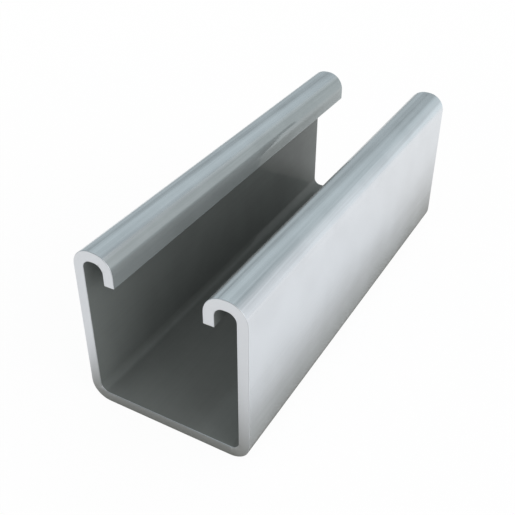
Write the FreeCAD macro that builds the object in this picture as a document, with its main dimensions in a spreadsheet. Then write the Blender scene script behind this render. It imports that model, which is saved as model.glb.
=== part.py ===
import FreeCAD, Part

import math
import os

import Sketcher

# Plain strut channel: one piece of steel strip, cold formed into an open box with two turned-in lips.
# It lies on its web with the slot up. X runs across the channel, Y along it and Z up.
# The origin is the middle of the web's underside. All sizes are in millimetres.

PIECE_NAME = "strut_channel"

# Driving dimensions: the alias of the cell, its size and what it measures.
SIZES = (
    ("channel_width", 41.3, "outside, from wall to wall"),
    ("channel_height", 41.3, "from the underside of the web to the top of the lips"),
    ("cut_length", 110.0, "of the sawn piece"),
    ("sheet_thickness", 2.55, "of the strip with its zinc coat"),
    ("bend_radius", 2.1, "inside radius of every bend"),
    ("slot_width", 21.2, "clear opening between the two lips"),
    ("lip_depth", 7.5, "from the top of a lip down to its edge"),
    ("strip_edge_radius", 0.25, "rounding that slitting leaves on the strip's edges"),
    ("deburr", 0.1, "chamfer round both sawn ends"),
)

# A lip's two bends share its width, and a flat as long as the strip edge's rounding or more parts them.
LIP_BEND_ROOM = (
    "((Sizes.channel_width - Sizes.slot_width) / 2 - Sizes.strip_edge_radius) / 2 - Sizes.sheet_thickness"
)
LIP_BEND = f"min(Sizes.bend_radius; {LIP_BEND_ROOM})"

MIRROR_TOLERANCE = 1e-6
CHAMFER_TOLERANCE = 0.05
FLAT_TOLERANCE = 0.001

# Ends and centre of a sketch element, and the sketch's own origin as an element and a point.
START, END, CENTRE = range(1, 4)
ORIGIN_POINT = (-1, 1)

# Directions from a bend's centre, in degrees.
EAST, NORTH, WEST, SOUTH, EAST_AGAIN = range(0, 361, 90)


def make_sheet(document):
    """Lists the driving dimensions in a spreadsheet, one row each, and gives each size its alias."""
    sheet = document.addObject("Spreadsheet::Sheet", "Sizes")
    for row, (alias, size, meaning) in enumerate(SIZES, start=1):
        sheet.set(f"A{row}", alias)
        sheet.set(f"B{row}", str(size))
        sheet.set(f"C{row}", meaning)
        sheet.setAlias(f"B{row}", alias)
    document.recompute()
    return sheet


def origin_plane(body, role):
    """Finds one of the body's own three planes."""
    return next(feature for feature in body.Origin.OriginFeatures if feature.Role == role)


class HalfSection:
    """The right half of the channel's section: a closed outline of straight runs and tangent bends.

    The outside and the inside of a bend turn about one centre, which keeps the strip's thickness constant.
    The runs and bends are named, and follow each other round the strip from the middle of the web.
    """

    RUNS_BACK = ("nose_bend_inside", "crown_bend_inside", "base_bend_inside")

    def __init__(self, body, sheet):
        self.sketch = body.newObject("Sketcher::SketchObject", "HalfSection")
        self.sketch.AttachmentSupport = [(origin_plane(body, "XZ_Plane"), "")]
        self.sketch.MapMode = "FlatFace"
        self.edges = {}
        self.draw(sheet)
        self.join()
        self.level()
        self.dimension()

    def run(self, name, start, end):
        """Adds a straight run, from point to point."""
        line = Part.LineSegment(FreeCAD.Vector(*start, 0), FreeCAD.Vector(*end, 0))
        self.edges[name] = self.sketch.addGeometry(line)

    def bend(self, name, centre, radius, first, last):
        """Adds a bend, anticlockwise from the first direction to the last."""
        circle = Part.Circle(FreeCAD.Vector(*centre, 0), FreeCAD.Vector(0, 0, 1), radius)
        arc = Part.ArcOfCircle(circle, math.radians(first), math.radians(last))
        self.edges[name] = self.sketch.addGeometry(arc)

    def draw(self, sheet):
        """Draws the outline from the web's middle out to the wall, over the lip and back along the inside."""
        side = sheet.channel_width / 2
        top = sheet.channel_height
        slot = sheet.slot_width / 2
        thick = sheet.sheet_thickness
        rounding = sheet.strip_edge_radius
        strip_edge = top - sheet.lip_depth
        base_inside = sheet.bend_radius
        lip_inside = min(base_inside, (side - slot - rounding) / 2 - thick)
        base_outside = base_inside + thick
        lip_outside = lip_inside + thick
        base = (side - base_outside, base_outside)
        crown = (side - lip_outside, top - lip_outside)
        nose = (slot + lip_outside, top - lip_outside)
        slot_corner = (slot + rounding, strip_edge + rounding)
        inner_corner = (slot + thick - rounding, strip_edge + rounding)

        self.run("middle", (0, thick), (0, 0))
        self.run("web_outside", (0, 0), (base[0], 0))
        self.bend("base_bend_outside", base, base_outside, SOUTH, EAST_AGAIN)
        self.run("wall_outside", (side, base[1]), (side, crown[1]))
        self.bend("crown_bend_outside", crown, lip_outside, EAST, NORTH)
        self.run("lip_outside", (crown[0], top), (nose[0], top))
        self.bend("nose_bend_outside", nose, lip_outside, NORTH, WEST)
        self.run("drop_outside", (slot, nose[1]), (slot, slot_corner[1]))
        self.bend("slot_corner", slot_corner, rounding, WEST, SOUTH)
        self.run("strip_edge", (slot_corner[0], strip_edge), (inner_corner[0], strip_edge))
        self.bend("inner_corner", inner_corner, rounding, SOUTH, EAST_AGAIN)
        self.run("drop_inside", (slot + thick, inner_corner[1]), (slot + thick, nose[1]))
        self.bend("nose_bend_inside", nose, lip_inside, NORTH, WEST)
        self.run("lip_inside", (nose[0], top - thick), (crown[0], top - thick))
        self.bend("crown_bend_inside", crown, lip_inside, EAST, NORTH)
        self.run("wall_inside", (side - thick, crown[1]), (side - thick, base[1]))
        self.bend("base_bend_inside", base, base_inside, SOUTH, EAST_AGAIN)
        self.run("web_inside", (base[0], thick), (0, thick))

    def constrain(self, kind, *where):
        """Adds a constraint whose places are edge names, point numbers or a size. Returns its number."""
        places = [self.edges[place] if isinstance(place, str) else place for place in where]
        return self.sketch.addConstraint(Sketcher.Constraint(kind, *places))

    def join(self):
        """Joins each run or bend to the next one, and makes every bend leave its runs tangentially."""
        names = list(self.edges)
        for name, following in zip(names, names[1:] + names[:1]):
            leaves = START if name in self.RUNS_BACK else END
            enters = END if following in self.RUNS_BACK else START
            square = "middle" in (name, following)
            self.constrain("Coincident" if square else "Tangent", name, leaves, following, enters)
        self.constrain("Coincident", "web_outside", START, *ORIGIN_POINT)

    def level(self):
        """Keeps the runs level or upright, and both sides of each bend about one centre."""
        for name in ("web_outside", "web_inside", "lip_outside", "lip_inside", "strip_edge"):
            self.constrain("Horizontal", name)
        for name in ("middle", "wall_outside", "wall_inside", "drop_outside", "drop_inside"):
            self.constrain("Vertical", name)
        for name in ("base_bend", "crown_bend", "nose_bend"):
            self.constrain("Coincident", f"{name}_outside", CENTRE, f"{name}_inside", CENTRE)

    def span(self, name, expression, kind, *where):
        """Drives the distance across or up between two points, which starts at what is drawn."""
        places = [self.edges[place] if isinstance(place, str) else place for place in where]
        drawn = self.sketch.getPoint(*places[2:]) - self.sketch.getPoint(*places[:2])
        number = self.constrain(kind, *places, drawn.x if kind == "DistanceX" else drawn.y)
        self.name_and_drive(number, name, expression)

    def radius(self, name, expression):
        """Drives the radius of a bend, which starts at what is drawn."""
        drawn = self.sketch.Geometry[self.edges[name]].Radius
        self.name_and_drive(self.constrain("Radius", name, drawn), f"{name}_radius", expression)

    def name_and_drive(self, number, name, expression):
        """Names a dimension and binds it to the sheet."""
        self.sketch.renameConstraint(number, name)
        self.sketch.setExpression(f"Constraints.{name}", expression)

    def dimension(self):
        """Binds the outline to the driving dimensions."""
        self.span("side", "Sizes.channel_width / 2", "DistanceX", *ORIGIN_POINT, "wall_outside", START)
        self.span("top", "Sizes.channel_height", "DistanceY", *ORIGIN_POINT, "lip_outside", START)
        self.span("slot", "Sizes.slot_width / 2", "DistanceX", *ORIGIN_POINT, "drop_outside", END)
        self.span("depth", "Sizes.lip_depth", "DistanceY", "strip_edge", START, "lip_outside", END)
        self.span("thickness", "Sizes.sheet_thickness", "DistanceY", "middle", END, "middle", START)
        self.radius("base_bend_inside", "Sizes.bend_radius")
        self.radius("crown_bend_inside", LIP_BEND)
        self.radius("nose_bend_inside", LIP_BEND)
        self.radius("slot_corner", "Sizes.strip_edge_radius")
        self.radius("inner_corner", "Sizes.strip_edge_radius")


def sawn_ends(shape):
    """Names the two faces that lie square across the channel."""
    faces = ((f"Face{number}", face) for number, face in enumerate(shape.Faces, start=1))
    return [name for name, face in faces if face.BoundBox.YLength < FLAT_TOLERANCE]


def make_channel(document, sheet):
    """Pads the half section along the channel, mirrors it and breaks the edges of both sawn ends."""
    body = document.addObject("PartDesign::Body", "StrutChannel")
    body.Label = PIECE_NAME
    section = HalfSection(body, sheet)

    half = body.newObject("PartDesign::Pad", "HalfChannel")
    half.Profile = section.sketch
    half.SideType = "Symmetric"
    half.setExpression("Length", "Sizes.cut_length")

    whole = body.newObject("PartDesign::Mirrored", "WholeChannel")
    whole.Originals = [half]
    whole.MirrorPlane = (origin_plane(body, "YZ_Plane"), [""])
    body.Tip = whole
    document.recompute()

    deburred = body.newObject("PartDesign::Chamfer", "DeburredChannel")
    deburred.Base = (whole, sawn_ends(whole.Shape))
    deburred.setExpression("Size", "Sizes.deburr")
    body.Tip = deburred
    document.recompute()
    return body


def check_features(document):
    """Stops the script if a feature failed or a size of the section is left loose."""
    for item in document.Objects:
        if {"Invalid", "Error"} & set(item.State):
            raise RuntimeError(f"{item.Label} failed: {item.State}")
    if not document.getObject("HalfSection").FullyConstrained:
        raise RuntimeError("the half section isn't fully constrained")


def check_solid(document, sheet, body):
    """Stops the script unless the channel is one valid solid and each feature changed what it should."""
    shape = body.Shape
    if shape.isNull() or not shape.isValid() or len(shape.Solids) != 1:
        raise RuntimeError("the channel isn't one valid solid")
    half = document.getObject("HalfChannel").Shape
    whole = document.getObject("WholeChannel").Shape
    if not math.isclose(whole.Volume, 2 * half.Volume, rel_tol=MIRROR_TOLERANCE):
        raise RuntimeError("the mirrored half is missing or overlaps")
    edge_length = sum(whole.getElement(name).Length for name in sawn_ends(whole))
    chamfered = edge_length * sheet.deburr**2 / 2
    if not math.isclose(whole.Volume - shape.Volume, chamfered, rel_tol=CHAMFER_TOLERANCE):
        raise RuntimeError("the sawn ends aren't chamfered all round")


def main():
    """Builds the document, checks it and writes the finished solid."""
    document = FreeCAD.newDocument("StrutChannel")
    sheet = make_sheet(document)
    body = make_channel(document, sheet)
    check_features(document)
    check_solid(document, sheet, body)
    os.makedirs("parts", exist_ok=True)
    body.Shape.exportStep(os.path.join("parts", f"{body.Label}.step"))
    box = body.Shape.BoundBox
    extent = f"{box.XLength:.2f} x {box.YLength:.2f} x {box.ZLength:.2f} mm"
    print(f"{body.Label}: {extent}, {body.Shape.Volume:.1f} mm3, {len(body.Shape.Faces)} faces")


main()
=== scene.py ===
import logging
import math
from dataclasses import dataclass, field
from enum import Enum

import bmesh
import bpy
from mathutils import Euler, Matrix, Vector


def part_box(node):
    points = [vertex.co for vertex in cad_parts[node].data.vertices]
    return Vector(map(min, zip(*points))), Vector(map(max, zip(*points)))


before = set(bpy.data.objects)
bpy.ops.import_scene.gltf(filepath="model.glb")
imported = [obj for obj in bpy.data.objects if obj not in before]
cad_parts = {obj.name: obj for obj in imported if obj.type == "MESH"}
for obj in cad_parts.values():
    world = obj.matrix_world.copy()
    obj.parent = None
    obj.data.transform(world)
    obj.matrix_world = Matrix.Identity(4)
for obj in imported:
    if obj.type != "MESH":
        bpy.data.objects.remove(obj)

log = logging.getLogger("strut_channel")

Socket = bpy.types.NodeSocket
Colour = tuple[float, float, float]
Bands = tuple[tuple[float, float], ...]
Value = float | tuple[float, ...] | Socket
WHITE: Colour = (1.0, 1.0, 1.0)
RIGHT_ANGLE = 90.0


class Kind(Enum):
    """Kinds of value that a node group takes in or puts out."""

    NUMBER = "NodeSocketFloat"
    VECTOR = "NodeSocketVector"


class Easing(Enum):
    """How a range of numbers is carried over to another one."""

    STRAIGHT = "LINEAR"
    SOFT = "SMOOTHSTEP"


class Wiring:
    """Places nodes in one node tree and wires them together."""

    def __init__(self, tree: bpy.types.NodeTree) -> None:
        """Takes over a tree.

        Args:
            tree: the node tree of a material, a world or a group.
        """
        self.tree = tree

    def feed(self, socket: Socket, value: Value) -> None:
        """Wires an input to another node, or sets its own value.

        Args:
            socket: the input to fill.
            value: another node's output, a number or a tuple of numbers.
        """
        if isinstance(value, bpy.types.NodeSocket):
            self.tree.links.new(value, socket)
        elif socket.type == "RGBA":
            socket.default_value = (*value, 1.0)
        else:
            socket.default_value = value

    def add(self, kind: str, inputs: dict[str | int, Value] | None = None,
            **settings: object) -> bpy.types.Node:
        """Adds a node.

        Args:
            kind: the node's type name.
            inputs: what goes into its sockets, by name or number.
            **settings: the node's own options.

        Returns:
            The new node.
        """
        node = self.tree.nodes.new(kind)
        for name, setting in settings.items():
            setattr(node, name, setting)
        for name, value in (inputs or {}).items():
            self.feed(node.inputs[name], value)
        return node

    def maths(self, operation: str, *numbers: Value) -> Socket:
        """Works out one sum.

        Args:
            operation: the Math node's operation.
            *numbers: what it works on, in the node's order.

        Returns:
            The result.
        """
        return self.add("ShaderNodeMath", dict(enumerate(numbers)), operation=operation).outputs["Value"]

    def beyond(self, value: Value, edge: Value) -> Socket:
        """Measures how far a number is past an edge.

        Args:
            value: the number.
            edge: the edge.

        Returns:
            The distance past the edge, and 0 before it.
        """
        return self.maths("MAXIMUM", self.maths("SUBTRACT", value, edge), 0.0)

    def diagonal(self, first: Value, second: Value) -> Socket:
        """Measures the diagonal over two sides.

        Args:
            first: one side's length.
            second: the other side's length.

        Returns:
            The diagonal's length.
        """
        squares = self.maths("MULTIPLY_ADD", first, first, self.maths("MULTIPLY", second, second))
        return self.maths("SQRT", squares)

    def ramp(self, value: Value, low: float, high: Value, to_low: Value = 0.0, to_high: Value = 1.0,
             easing: Easing = Easing.SOFT) -> Socket:
        """Carries a range of a number over to another range, and stays at its ends beyond them.

        Args:
            value: the number.
            low: where the range starts.
            high: where the range ends.
            to_low: the result at and before the start.
            to_high: the result at and after the end.
            easing: how it gets from one to the other.

        Returns:
            The result.
        """
        inputs = {"Value": value, "From Min": low, "From Max": high, "To Min": to_low, "To Max": to_high}
        return self.add("ShaderNodeMapRange", inputs, interpolation_type=easing.value).outputs["Result"]

    def blend(self, mask: Value, outside: Value, inside: Value) -> Socket:
        """Goes softly from one number to another by a mask.

        Args:
            mask: 0 outside, 1 inside.
            outside: the number where the mask is 0.
            inside: the number where the mask is 1.

        Returns:
            The number at each place.
        """
        return self.ramp(mask, 0.0, 1.0, outside, inside)

    def swing(self, pattern: Value, about: Value, amount: Value) -> Socket:
        """Swings a value by a pattern.

        Args:
            pattern: a number from 0 to 1.
            about: the value at the middle of the pattern.
            amount: how far the value goes up or down at the pattern's ends.

        Returns:
            The swung value.
        """
        from_middle = self.maths("MULTIPLY_ADD", pattern, 2.0, -1.0)
        return self.maths("MULTIPLY_ADD", from_middle, amount, about)

    def mix(self, amount: Value, first: Value, second: Value) -> Socket:
        """Mixes two colours.

        Args:
            amount: 0 for the first colour, 1 for the second.
            first: the first colour.
            second: the second colour.

        Returns:
            The mixed colour.
        """
        node = self.add("ShaderNodeMix", data_type="RGBA")
        first_colour, second_colour = [socket for socket in node.inputs if socket.type == "RGBA"]
        self.feed(node.inputs["Factor"], amount)
        self.feed(first_colour, first)
        self.feed(second_colour, second)
        return next(socket for socket in node.outputs if socket.type == "RGBA")

    def scaled(self, vector: Value, amount: Value) -> Socket:
        """Multiplies a colour or a vector by a number.

        Args:
            vector: the colour or the vector.
            amount: the number.

        Returns:
            The product.
        """
        inputs = {0: vector, "Scale": amount}
        return self.add("ShaderNodeVectorMath", inputs, operation="SCALE").outputs["Vector"]

    def axes(self, vector: Value) -> list[Socket]:
        """Splits a vector into its three numbers.

        Args:
            vector: the vector.

        Returns:
            Its numbers across, along and up.
        """
        return list(self.add("ShaderNodeSeparateXYZ", {0: vector}).outputs)

    def noise(self, place: Value, detail: float, roughness: float = 0.5) -> Socket:
        """Adds a random pattern whose features are about one unit wide.

        Args:
            place: where the pattern is read.
            detail: how many finer layers it has.
            roughness: how strong the finer layers are.

        Returns:
            A number from 0 to 1, mostly near 0.5.
        """
        inputs = {"Vector": place, "Scale": 1.0, "Detail": detail, "Roughness": roughness}
        return self.add("ShaderNodeTexNoise", inputs).outputs["Fac"]

    def use(self, group: bpy.types.NodeTree, **inputs: Value) -> Socket:
        """Places a node group.

        Args:
            group: the group.
            **inputs: what goes into its inputs.

        Returns:
            The group's only output.
        """
        node = self.tree.nodes.new("ShaderNodeGroup")
        node.node_tree = group
        for name, value in inputs.items():
            self.feed(node.inputs[name], value)
        return node.outputs[0]


class Group(Wiring):
    """A shader node group with named inputs and one output, under construction."""

    def __init__(self, name: str, takes: dict[str, Kind], gives: str) -> None:
        """Starts the group.

        Args:
            name: the group's name.
            takes: its inputs.
            gives: the name of its output, a number.
        """
        super().__init__(bpy.data.node_groups.new(name, "ShaderNodeTree"))
        for socket, kind in takes.items():
            self.tree.interface.new_socket(socket, in_out="INPUT", socket_type=kind.value)
        self.tree.interface.new_socket(gives, in_out="OUTPUT", socket_type=Kind.NUMBER.value)
        self.inputs = self.add("NodeGroupInput").outputs
        self.end = self.add("NodeGroupOutput")

    def closed(self, result: Socket) -> bpy.types.NodeTree:
        """Wires the result to the group's output.

        Args:
            result: what the group works out.

        Returns:
            The finished group.
        """
        self.feed(self.end.inputs[0], result)
        return self.tree


@dataclass(frozen=True)
class RollLines:
    """The faint lines along the strip that the forming rolls leave.

    low and high are where the noise under the lines is cut off.
    """

    detail: float = 3.0
    roughness: float = 0.6
    low: float = 0.3
    high: float = 0.7

    def group(self) -> bpy.types.NodeTree:
        """Makes the group.

        Returns:
            The group: a place, and the lines' width and length, give a pattern from 0 to 1.
        """
        takes = {"Place": Kind.VECTOR, "Width": Kind.NUMBER, "Length": Kind.NUMBER}
        group = Group("roll_lines", takes, "Lines")
        width, length = group.inputs["Width"], group.inputs["Length"]
        size = group.add("ShaderNodeCombineXYZ", {"X": width, "Y": length, "Z": width}).outputs["Vector"]
        inputs = {0: group.inputs["Place"], 1: size}
        placed = group.add("ShaderNodeVectorMath", inputs, operation="DIVIDE").outputs["Vector"]
        lines = group.noise(placed, self.detail, self.roughness)
        return group.closed(group.ramp(lines, self.low, self.high, easing=Easing.STRAIGHT))


@dataclass(frozen=True)
class Blotches:
    """The soft cloudy patches of a zinc skin.

    low and high are where the noise under the patches is cut off.
    """

    detail: float = 4.0
    low: float = 0.32
    high: float = 0.68

    def group(self) -> bpy.types.NodeTree:
        """Makes the group.

        Returns:
            The group: a place and the patches' size give a pattern from 0 to 1.
        """
        group = Group("blotches", {"Place": Kind.VECTOR, "Size": Kind.NUMBER}, "Patches")
        placed = group.scaled(group.inputs["Place"], group.maths("DIVIDE", 1.0, group.inputs["Size"]))
        return group.closed(group.ramp(group.noise(placed, self.detail), self.low, self.high))


@dataclass(frozen=True)
class SawMarks:
    """The fine arcs that a cold saw leaves on a cut end.

    blade_middle is the blade's middle beside and below the channel, in metres.
    """

    blade_middle: tuple[float, float] = (0.11, -0.08)
    detail: float = 2.0

    def group(self) -> bpy.types.NodeTree:
        """Makes the group.

        Returns:
            The group: a place and the marks' pitch give a pattern from 0 to 1.
        """
        group = Group("saw_marks", {"Place": Kind.VECTOR, "Pitch": Kind.NUMBER}, "Marks")
        across, _, up = group.axes(group.inputs["Place"])
        out = group.diagonal(group.maths("SUBTRACT", across, self.blade_middle[0]),
                             group.maths("SUBTRACT", up, self.blade_middle[1]))
        arcs = group.maths("DIVIDE", out, group.inputs["Pitch"])
        placed = group.add("ShaderNodeCombineXYZ", {"X": arcs}).outputs["Vector"]
        return group.closed(group.noise(placed, self.detail))


@dataclass(frozen=True)
class Section:
    """The channel's section as the finish needs it: sizes in metres, and masks made from them.

    face_blend is half the width of the soft step between the strip's two faces. slot_blend is how far the
    slot's finish, with its painted shade, reaches over the nose bends before it fades, and how wide the
    fade is. crest_drop is how far down the crests reach, and lip_margin is how far behind a lip's back its
    tip still counts.
    """

    half_width: float
    height: float
    half_length: float
    sheet: float = 0.00255
    outer_bend: float = 0.00465
    lip_width: float = 0.01005
    lip_depth: float = 0.0075
    face_blend: float = 0.0004
    slot_blend: float = 0.00135
    crest_drop: float = 0.005
    lip_margin: float = 0.0005

    def inner_face(self) -> bpy.types.NodeTree:
        """Makes the group that marks the strip's inner face.

        The middle of the sheet runs round both base bends and both lip bends. A place is on the inner
        face where it lies inside that line.

        Returns:
            The group: a place gives 1 on the inner face and 0 on the outer one.
        """
        group = Group("inner_face", {"Place": Kind.VECTOR}, "Inner")
        across, _, up = group.axes(group.inputs["Place"])
        across = group.maths("ABSOLUTE", across)
        middle = self.outer_bend - self.sheet / 2
        base = group.diagonal(group.beyond(across, self.half_width - self.outer_bend),
                              group.beyond(self.outer_bend, up))
        lip_middle = self.half_width - self.lip_width / 2
        off_lip = group.maths("ABSOLUTE", group.maths("SUBTRACT", across, lip_middle))
        lip = group.diagonal(group.beyond(off_lip, self.lip_width / 2 - self.outer_bend),
                             group.beyond(up, self.height - self.outer_bend))
        high = group.maths("GREATER_THAN", up, self.height / 2)
        inputs = {"Factor": high, "A": base, "B": lip}
        from_bend = group.add("ShaderNodeMix", inputs, data_type="FLOAT").outputs[0]
        starts, ends = middle - self.face_blend, middle + self.face_blend
        return group.closed(group.ramp(from_bend, starts, ends, 1.0, 0.0))

    def slot_side(self) -> bpy.types.NodeTree:
        """Makes the group that marks where the lips turn in to the slot.

        Returns:
            The group: a place gives 1 on the slot's faces, falling to 0 before the lips' crests.
        """
        group = Group("slot_side", {"Place": Kind.VECTOR}, "Slot side")
        across, _, up = group.axes(group.inputs["Place"])
        edge = self.half_width - self.lip_width + self.slot_blend
        turned = group.ramp(group.maths("ABSOLUTE", across), edge, edge + self.slot_blend, 1.0, 0.0)
        high = group.maths("GREATER_THAN", up, self.height / 2)
        return group.closed(group.maths("MULTIPLY", turned, high))

    def crests(self) -> bpy.types.NodeTree:
        """Makes the group that marks the lips' crests, which the rolls press and stacked lengths rub.

        Returns:
            The group: a place gives 1 on the crests, falling to 0 down the sides.
        """
        group = Group("crests", {"Place": Kind.VECTOR}, "Crest")
        up = group.axes(group.inputs["Place"])[2]
        return group.closed(group.ramp(up, self.height - self.crest_drop, self.height))

    def worn_edges(self) -> bpy.types.NodeTree:
        """Makes the group that marks the edges that handling rubs: the sawn ends' and the lips' tips.

        Returns:
            The group: a place and the rub's reach give 1 at such an edge, falling to 0 at the reach.
        """
        group = Group("worn_edges", {"Place": Kind.VECTOR, "Reach": Kind.NUMBER}, "Worn")
        across, along, up = group.axes(group.inputs["Place"])
        from_end = group.maths("SUBTRACT", self.half_length, group.maths("ABSOLUTE", along))
        from_tip = group.maths("SUBTRACT", up, self.height - self.lip_depth)
        lip_back = self.half_width - self.lip_width + self.sheet + self.lip_margin
        on_lip = group.maths("LESS_THAN", group.maths("ABSOLUTE", across), lip_back)
        off_lip = group.maths("SUBTRACT", 1.0, on_lip)
        tip = group.maths("ADD", group.maths("ABSOLUTE", from_tip), off_lip)
        nearest = group.maths("DIVIDE", group.maths("MINIMUM", from_end, tip), group.inputs["Reach"])
        return group.closed(group.ramp(nearest, 0.0, 1.0, 1.0, 0.0))


@dataclass(frozen=True)
class Zones:
    """Where each part of the finish lies: masks from 0 to 1.

    inner is the strip's inner face, slot the slot's faces, crest the lips' tops, worn the rubbed edges,
    sawn the cut ends, and filed the slope round them.
    """

    inner: Socket
    slot: Socket
    crest: Socket
    worn: Socket
    sawn: Socket
    filed: Socket


@dataclass(frozen=True)
class Marks:
    """The patterns that making leaves on the steel: numbers from 0 to 1."""

    lines: Socket
    grain: Socket
    patches: Socket
    saw: Socket


@dataclass(frozen=True)
class SteelFinish:
    """The strip's zinc skin, less metallic inside, with painted shade on its inner face and on the slot's
    faces, and the bare steel of its sawn ends with their filed edges.

    Lengths are in metres. A tone or a rough is how far a mark swings the colour or the roughness, but
    filed_painted_shade is the share of the ends' colour that their filed edges keep: painted shade that
    darkens the bright line their slope catches. gloss is the shine of what isn't bare metal, and
    end_tolerance is how near to the end's plane a place counts as on it.
    """

    zinc: Colour = (0.752, 0.778, 0.808)
    # The slot's faces' colour is the zinc painted darker: painted shade of the slot.
    slot_painted_shade: Colour = (0.364, 0.401, 0.407)
    # The inner face's colour is the zinc painted far darker: painted shade of the channel's hollow.
    inner_painted_shade: Colour = (0.169, 0.184, 0.178)
    sawn_steel: Colour = (0.725, 0.742, 0.765)
    zinc_roughness: float = 0.209
    slot_roughness: float = 0.1
    inner_roughness: float = 0.035
    sawn_roughness: float = 0.33
    filed_roughness: float = 0.5
    zinc_metallic: float = 0.974
    slot_metallic: float = 0.434
    inner_metallic: float = 0.045
    sawn_metallic: float = 1.0
    gloss: float = 0.115
    filed_width: float = 0.0001
    end_tolerance: float = 0.000002
    line_width: float = 0.0009
    line_length: float = 0.06
    grain_width: float = 0.00012
    grain_length: float = 0.012
    patch_size: float = 0.009
    saw_pitch: float = 0.00022
    rub_reach: float = 0.0007
    line_tone: float = 0.02
    crest_line_tone: float = 0.09
    patch_tone: float = 0.03
    saw_tone: float = 0.03
    rub_tone: float = 0.05
    # The filed edges' share of the ends' colour is painted shade against the bright line their slope
    # catches.
    filed_painted_shade: float = 0.88
    line_rough: float = 0.03
    patch_rough: float = 0.02
    grain_height: float = 0.0000006
    line_height: float = 0.000004
    saw_height: float = 0.000004

    def material(self, section: Section) -> bpy.types.Material:
        """Makes the material.

        Args:
            section: the channel's section.

        Returns:
            The material.
        """
        material = bpy.data.materials.new("zinc_coated_steel")
        material.use_nodes = True
        wiring = Wiring(material.node_tree)
        place = wiring.add("ShaderNodeTexCoord").outputs["Object"]
        zones, marks = self.zones(wiring, place, section), self.marks(wiring, place)
        shader = material.node_tree.nodes["Principled BSDF"].inputs
        wiring.feed(shader["Base Color"], self.colour(wiring, zones, marks))
        wiring.feed(shader["Roughness"], self.roughness(wiring, zones, marks))
        wiring.feed(shader["Metallic"], self.metallic(wiring, zones))
        wiring.feed(shader["Normal"], self.normal(wiring, zones, marks))
        wiring.feed(shader["Specular IOR Level"], self.gloss)
        return material

    def zones(self, wiring: Wiring, place: Socket, section: Section) -> Zones:
        """Marks out the zones of the finish.

        Args:
            wiring: the material's wiring.
            place: where on the channel.
            section: the channel's section.

        Returns:
            The zones.
        """
        inner = wiring.use(section.inner_face(), Place=place)
        slot = wiring.use(section.slot_side(), Place=place)
        along = wiring.maths("ABSOLUTE", wiring.axes(place)[1])
        edge = section.half_length - self.filed_width
        past_edge = wiring.maths("GREATER_THAN", along, edge)
        off_end = wiring.maths("LESS_THAN", along, section.half_length - self.end_tolerance)
        return Zones(
            inner=inner,
            slot=wiring.maths("MULTIPLY", slot, wiring.maths("SUBTRACT", 1.0, inner)),
            crest=wiring.use(section.crests(), Place=place),
            worn=wiring.use(section.worn_edges(), Place=place, Reach=self.rub_reach),
            sawn=wiring.ramp(along, edge - self.filed_width, edge),
            filed=wiring.maths("MULTIPLY", past_edge, off_end),
        )

    def marks(self, wiring: Wiring, place: Socket) -> Marks:
        """Lays out the patterns.

        Args:
            wiring: the material's wiring.
            place: where on the channel.

        Returns:
            The patterns.
        """
        roll_lines = RollLines().group()
        return Marks(
            lines=wiring.use(roll_lines, Place=place, Width=self.line_width, Length=self.line_length),
            grain=wiring.use(roll_lines, Place=place, Width=self.grain_width, Length=self.grain_length),
            patches=wiring.use(Blotches().group(), Place=place, Size=self.patch_size),
            saw=wiring.use(SawMarks().group(), Place=place, Pitch=self.saw_pitch),
        )

    def colour(self, wiring: Wiring, zones: Zones, marks: Marks) -> Socket:
        """Colours the steel.

        Args:
            wiring: the material's wiring.
            zones: the zones of the finish.
            marks: the patterns.

        Returns:
            The colour.
        """
        # The slot's faces take their painted shade of the slot here.
        outer = wiring.mix(zones.slot, self.zinc, self.slot_painted_shade)
        # The inner face takes its painted shade of the hollow here.
        skin = wiring.mix(zones.inner, outer, self.inner_painted_shade)
        line_tone = wiring.blend(zones.crest, self.line_tone, self.crest_line_tone)
        lined_tone = wiring.swing(marks.lines, 1.0, line_tone)
        skin_tone = wiring.swing(marks.patches, lined_tone, self.patch_tone)
        skin_tone = wiring.maths("MULTIPLY_ADD", zones.worn, self.rub_tone, skin_tone)
        # The filed edges take their painted shade here.
        filed_shade_tone = wiring.blend(zones.filed, 1.0, self.filed_painted_shade)
        end_tone = wiring.maths("MULTIPLY", wiring.swing(marks.saw, 1.0, self.saw_tone), filed_shade_tone)
        end = wiring.scaled(self.sawn_steel, end_tone)
        return wiring.mix(zones.sawn, wiring.scaled(skin, skin_tone), end)

    def over_skin(self, wiring: Wiring, zones: Zones, outer: float, slot: float, inner: float) -> Socket:
        """Spreads a number over the skin.

        Args:
            wiring: the material's wiring.
            zones: the zones of the finish.
            outer: the number on the outer face.
            slot: the number on the slot's faces.
            inner: the number on the inner face.

        Returns:
            The number at each place.
        """
        outside = wiring.blend(zones.slot, outer, slot)
        return wiring.blend(zones.inner, outside, inner)

    def roughness(self, wiring: Wiring, zones: Zones, marks: Marks) -> Socket:
        """Works out how rough the steel is.

        Args:
            wiring: the material's wiring.
            zones: the zones of the finish.
            marks: the patterns.

        Returns:
            The roughness.
        """
        skin = self.over_skin(wiring, zones, self.zinc_roughness, self.slot_roughness,
                              self.inner_roughness)
        lined = wiring.swing(marks.lines, skin, self.line_rough)
        skin = wiring.swing(marks.patches, lined, self.patch_rough)
        end = wiring.blend(zones.filed, self.sawn_roughness, self.filed_roughness)
        return wiring.blend(zones.sawn, skin, wiring.swing(marks.saw, end, self.line_rough))

    def metallic(self, wiring: Wiring, zones: Zones) -> Socket:
        """Works out how much the steel is bare bright metal.

        Args:
            wiring: the material's wiring.
            zones: the zones of the finish.

        Returns:
            The share of bare metal.
        """
        skin = self.over_skin(wiring, zones, self.zinc_metallic, self.slot_metallic,
                              self.inner_metallic)
        return wiring.blend(zones.sawn, skin, self.sawn_metallic)

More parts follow.
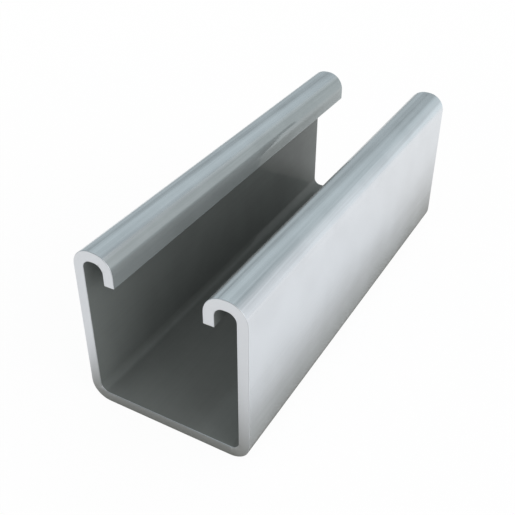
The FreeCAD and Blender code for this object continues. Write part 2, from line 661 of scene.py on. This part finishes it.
    def normal(self, wiring: Wiring, zones: Zones, marks: Marks) -> Socket:
        """Raises the lines, the grain and the saw marks.

        Args:
            wiring: the material's wiring.
            zones: the zones of the finish.
            marks: the patterns.

        Returns:
            The normal.
        """
        grain = wiring.maths("MULTIPLY", marks.grain, self.grain_height)
        skin = wiring.maths("MULTIPLY_ADD", marks.lines, self.line_height, grain)
        end = wiring.maths("MULTIPLY", marks.saw, self.saw_height)
        height = wiring.blend(zones.sawn, skin, end)
        bump = wiring.add("ShaderNodeBump", {"Height": height, "Strength": 1.0, "Distance": 1.0})
        return bump.outputs["Normal"]


@dataclass
class StrutChannel:
    """The channel itself: the fixed frame's one node, with its bends shaded smooth.

    touching is the greatest distance, in metres, at which two corners are joined, and flat_first is how
    much the flat faces count when the bends are smoothed.
    """

    node: str = "strut_channel"
    finish: SteelFinish = field(default_factory=SteelFinish)
    touching: float = 1e-6
    flat_first: int = 50

    def section(self) -> Section:
        """Reads the section's outside sizes from the frame.

        Returns:
            The section.
        """
        _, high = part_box(self.node)
        return Section(half_width=high.x, height=high.z, half_length=high.y)

    def dress(self) -> bpy.types.Object:
        """Gives the node its finish, and shades each bend as the round that it is.

        Returns:
            The node's object.
        """
        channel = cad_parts[self.node]
        material = self.finish.material(self.section())
        for slot in channel.material_slots:
            slot.material = material
        weld = channel.modifiers.new("joined_faces", "WELD")
        weld.merge_threshold = self.touching
        normals = channel.modifiers.new("smooth_bends", "WEIGHTED_NORMAL")
        normals.mode = "FACE_AREA"
        normals.weight = self.flat_first
        return channel


@dataclass(frozen=True)
class Wall:
    """One side of the studio as the channel mirrors it: soft bands of one tint.

    A band is an elevation in degrees and how bright the wall is there.
    """

    tint: Colour
    bands: Bands

    def colour(self, wiring: Wiring, elevation: Socket) -> Socket:
        """Colours the wall by elevation.

        Args:
            wiring: the world's wiring.
            elevation: 0 at the horizon, 1 overhead.

        Returns:
            The colour.
        """
        node = wiring.add("ShaderNodeValToRGB", {"Fac": elevation})
        stops = node.color_ramp.elements
        for _ in self.bands[len(stops):]:
            stops.new(1.0)
        for stop, (angle, bright) in zip(stops, self.bands):
            stop.position = angle / RIGHT_ANGLE
            stop.color = (bright, bright, bright, 1.0)
        return wiring.scaled(self.tint, node.outputs["Color"])


@dataclass(frozen=True)
class Sky:
    """The studio's walls round the channel, as it mirrors them.

    The left wall has a pale foot, a dark rail and a bright panel. The right wall and the one by the lamp
    are brighter low down. A side is an angle in degrees away from the channel's right: the lamp's wall
    turns into the right one from lamp_side to right_side, and that turns into the left one from
    right_side to left_side.
    """

    left: Wall = Wall(
        tint=(0.86, 0.97, 1.0),
        bands=((0, 0.46), (15, 0.56), (25, 0.32), (33, 0.65), (50, 0.58), (75, 0.43)),
    )
    right: Wall = Wall(
        tint=(0.86, 0.97, 1.0),
        bands=((0, 0.87), (10, 0.68), (25, 0.7), (45, 0.47), (75, 0.44)),
    )
    lamp: Wall = Wall(
        tint=(0.96, 0.98, 1.0),
        bands=((0, 0.85), (20, 0.74), (40, 0.78), (75, 0.4)),
    )
    left_side: float = 87.6
    right_side: float = 77.3
    lamp_side: float = 35.9

    def colour(self, wiring: Wiring) -> Socket:
        """Colours the sky.

        Args:
            wiring: the world's wiring.

        Returns:
            The colour in each direction.
        """
        across, along, up = wiring.axes(wiring.add("ShaderNodeTexCoord").outputs["Generated"])
        away = wiring.maths("ARCTAN2", wiring.maths("ABSOLUTE", along), across)
        elevation = wiring.maths("DIVIDE", wiring.maths("ARCSINE", up), math.radians(RIGHT_ANGLE))
        left, right, lamp = [wall.colour(wiring, elevation) for wall in (self.left, self.right, self.lamp)]
        past_lamp = wiring.ramp(away, math.radians(self.lamp_side), math.radians(self.right_side))
        past_right = wiring.ramp(away, math.radians(self.right_side), math.radians(self.left_side))
        return wiring.mix(past_right, wiring.mix(past_lamp, lamp, right), left)


@dataclass
class Floor:
    """The pale floor, which thins out into the white round it.

    Lengths are in metres. The channel mirrors the floor beside it in the shade's colour. The four
    reaches are how far that shade goes to the side, before the near end, beyond the far end behind the
    walls, and beyond the far end where the hollow lets light through. seen_glow is the share of plain
    white in what the camera sees, and thin_from and thin_to are where the floor starts and ends to thin
    out.
    """

    half_size: float = 1.0
    level: float = -0.00005
    white: Colour = (0.97, 0.975, 0.98)
    seen_glow: float = 0.94
    shade: Colour = (0.299, 0.296, 0.267)
    side_shade_reach: float = 0.0129
    near_shade_reach: float = 0.018
    far_shade_reach: float = 0.095
    open_shade_reach: float = 0.016
    thin_from: float = 0.12
    thin_to: float = 0.5

    def build(self, section: Section) -> bpy.types.Object:
        """Makes the floor.

        Args:
            section: the channel's section.

        Returns:
            The floor's object.
        """
        mesh = bpy.data.meshes.new("studio_floor")
        shape = bmesh.new()
        bmesh.ops.create_grid(shape, x_segments=1, y_segments=1, size=self.half_size)
        bmesh.ops.translate(shape, verts=shape.verts, vec=(0, 0, self.level))
        shape.to_mesh(mesh)
        shape.free()
        mesh.materials.append(self.material(section))
        floor = bpy.data.objects.new("studio_floor", mesh)
        bpy.context.scene.collection.objects.link(floor)
        return floor

    def clear_of_channel(self, wiring: Wiring, across: Socket, along: Socket,
                         section: Section) -> Socket:
        """Finds where the floor lies clear of the channel.

        Args:
            wiring: the floor's wiring.
            across: how far to the side of the channel's middle.
            along: how far along from the channel's middle.
            section: the channel's section.

        Returns:
            A number from 0 under the channel to 1 beyond the reach of its shade.
        """
        half_width, half_length = section.half_width, section.half_length
        out = wiring.maths("ABSOLUTE", across)
        side = wiring.ramp(out, half_width, half_width + self.side_shade_reach, easing=Easing.STRAIGHT)
        near = wiring.ramp(along, -half_length - self.near_shade_reach, -half_length, 1.0, 0.0,
                           Easing.STRAIGHT)
        reach = wiring.ramp(out, half_width - section.sheet, half_width, self.open_shade_reach,
                            self.far_shade_reach)
        far_end = wiring.maths("ADD", reach, half_length)
        far = wiring.ramp(along, half_length, far_end, easing=Easing.STRAIGHT)
        return wiring.maths("MAXIMUM", side, wiring.maths("MAXIMUM", near, far))

    def material(self, section: Section) -> bpy.types.Material:
        """Makes the floor's paint.

        The camera sees it as the plain white background with a little of the channel's shade. In the
        channel's own reflections it darkens towards the channel.

        Args:
            section: the channel's section.

        Returns:
            The material.
        """
        material = bpy.data.materials.new("studio_floor")
        material.use_nodes = True
        material.node_tree.nodes.clear()
        wiring = Wiring(material.node_tree)
        rays = wiring.add("ShaderNodeLightPath").outputs
        across, along, _ = wiring.axes(wiring.add("ShaderNodeTexCoord").outputs["Object"])
        clear = self.clear_of_channel(wiring, across, along, section)
        mirrored = wiring.mix(clear, self.shade, self.white)
        colour = wiring.mix(rays["Is Glossy Ray"], self.white, mirrored)
        paint = wiring.add("ShaderNodeBsdfDiffuse", {"Color": colour})
        glow = wiring.add("ShaderNodeEmission", {"Color": WHITE, "Strength": 1.0})
        share = wiring.maths("MULTIPLY", rays["Is Camera Ray"], self.seen_glow)
        seen = wiring.add("ShaderNodeMixShader", {0: share, 1: paint.outputs[0], 2: glow.outputs[0]})
        thin = wiring.ramp(wiring.diagonal(across, along), self.thin_from, self.thin_to)
        nothing = wiring.add("ShaderNodeBsdfTransparent")
        both = wiring.add("ShaderNodeMixShader", {0: thin, 1: seen.outputs[0], 2: nothing.outputs[0]})
        wiring.add("ShaderNodeOutputMaterial", {"Surface": both.outputs[0]})
        return material


@dataclass
class Lamp:
    """The soft lamp on the channel's right.

    Angles are in degrees, and the azimuth is counted from the channel's far end towards its right. The
    strength is in watts to the square metre.
    """

    azimuth: float = 89.9
    elevation: float = 22.7
    spread: float = 60.0
    strength: float = 1.19

    def hang(self) -> bpy.types.Object:
        """Hangs the lamp.

        Returns:
            The lamp's object.
        """
        data = bpy.data.lights.new("soft_lamp", "SUN")
        data.angle = math.radians(self.spread)
        data.energy = self.strength
        lamp = bpy.data.objects.new("soft_lamp", data)
        turn, rise = math.radians(self.azimuth), math.radians(self.elevation)
        level = math.cos(rise)
        towards = Vector((math.sin(turn) * level, math.cos(turn) * level, math.sin(rise)))
        lamp.rotation_euler = towards.to_track_quat("Z", "Y").to_euler()
        bpy.context.scene.collection.objects.link(lamp)
        return lamp


@dataclass
class Camera:
    """The camera at the photograph's angle.

    The place and nearest are in metres, the angles in degrees, focal_pixels and frame_pixels in the
    photograph's pixels, and sensor in millimetres.
    """

    place: tuple[float, float, float] = (0.075684, -0.149227, 0.128605)
    azimuth: float = 29.4444
    elevation: float = 34.8625
    roll: float = 0.174
    focal_pixels: float = 777.425
    frame_pixels: float = 515.0
    sensor: float = 36.0
    nearest: float = 0.001

    def set_up(self) -> bpy.types.Object:
        """Sets the camera up.

        Returns:
            The camera's object.
        """
        data = bpy.data.cameras.new("camera")
        data.sensor_width = self.sensor
        data.lens = self.focal_pixels / self.frame_pixels * self.sensor
        data.clip_start = self.nearest
        camera = bpy.data.objects.new("camera", data)
        # A camera that isn't turned looks straight down, so it is raised to the photograph's angle.
        raised = math.radians(RIGHT_ANGLE - self.elevation)
        tilt = Euler((raised, 0, math.radians(self.azimuth)), "XYZ").to_matrix()
        roll = Euler((0, 0, math.radians(self.roll)), "XYZ").to_matrix()
        camera.location = self.place
        camera.rotation_euler = (tilt @ roll).to_euler()
        bpy.context.scene.collection.objects.link(camera)
        bpy.context.scene.camera = camera
        return camera


@dataclass
class Studio:
    """The floor, the light all round, the lamp and the camera.

    dome_side and dome_top are the light's strength at the horizon and overhead.
    """

    floor: Floor = field(default_factory=Floor)
    sky: Sky = field(default_factory=Sky)
    lamp: Lamp = field(default_factory=Lamp)
    camera: Camera = field(default_factory=Camera)
    dome_side: float = 1.0
    dome_top: float = 0.69

    def build(self, section: Section) -> None:
        """Sets the studio up round the channel.

        Args:
            section: the channel's section.
        """
        for piece in (self.floor.build(section), self.lamp.hang(), self.camera.set_up()):
            log.info("%s in place", piece.name)
        self.light_all_round()
        bpy.context.scene.view_settings.view_transform = "Standard"

    def light_all_round(self) -> None:
        """Makes the world: a soft dome that lights, the walls that metal mirrors, and the seen white."""
        world = bpy.data.worlds.new("studio")
        bpy.context.scene.world = world
        world.use_nodes = True
        world.node_tree.nodes.clear()
        world.cycles.sampling_method = "NONE"
        wiring = Wiring(world.node_tree)
        rays = wiring.add("ShaderNodeLightPath").outputs
        up = wiring.axes(wiring.add("ShaderNodeTexCoord").outputs["Generated"])[2]
        strength = wiring.ramp(up, 0.0, 1.0, self.dome_side, self.dome_top, Easing.STRAIGHT)
        dome = wiring.add("ShaderNodeBackground", {"Color": WHITE, "Strength": strength})
        walls = wiring.add("ShaderNodeBackground", {"Color": self.sky.colour(wiring), "Strength": 1.0})
        white = wiring.add("ShaderNodeBackground", {"Color": WHITE, "Strength": 1.0})
        unseen = wiring.add("ShaderNodeMixShader",
                            {0: rays["Is Glossy Ray"], 1: dome.outputs[0], 2: walls.outputs[0]})
        both = wiring.add("ShaderNodeMixShader",
                          {0: rays["Is Camera Ray"], 1: unseen.outputs[0], 2: white.outputs[0]})
        wiring.add("ShaderNodeOutputWorld", {"Surface": both.outputs[0]})


def main() -> None:
    """Dresses the channel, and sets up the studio."""
    logging.basicConfig(level=logging.INFO, format="%(name)s: %(message)s")
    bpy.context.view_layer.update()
    channel = StrutChannel()
    dressed = channel.dress()
    log.info("%s dressed in %s", dressed.name, dressed.active_material.name)
    studio = Studio()
    studio.build(channel.section())
    log.info("studio set up, light all round from %s", bpy.context.scene.world.name)


if __name__ == "__main__":
    main()
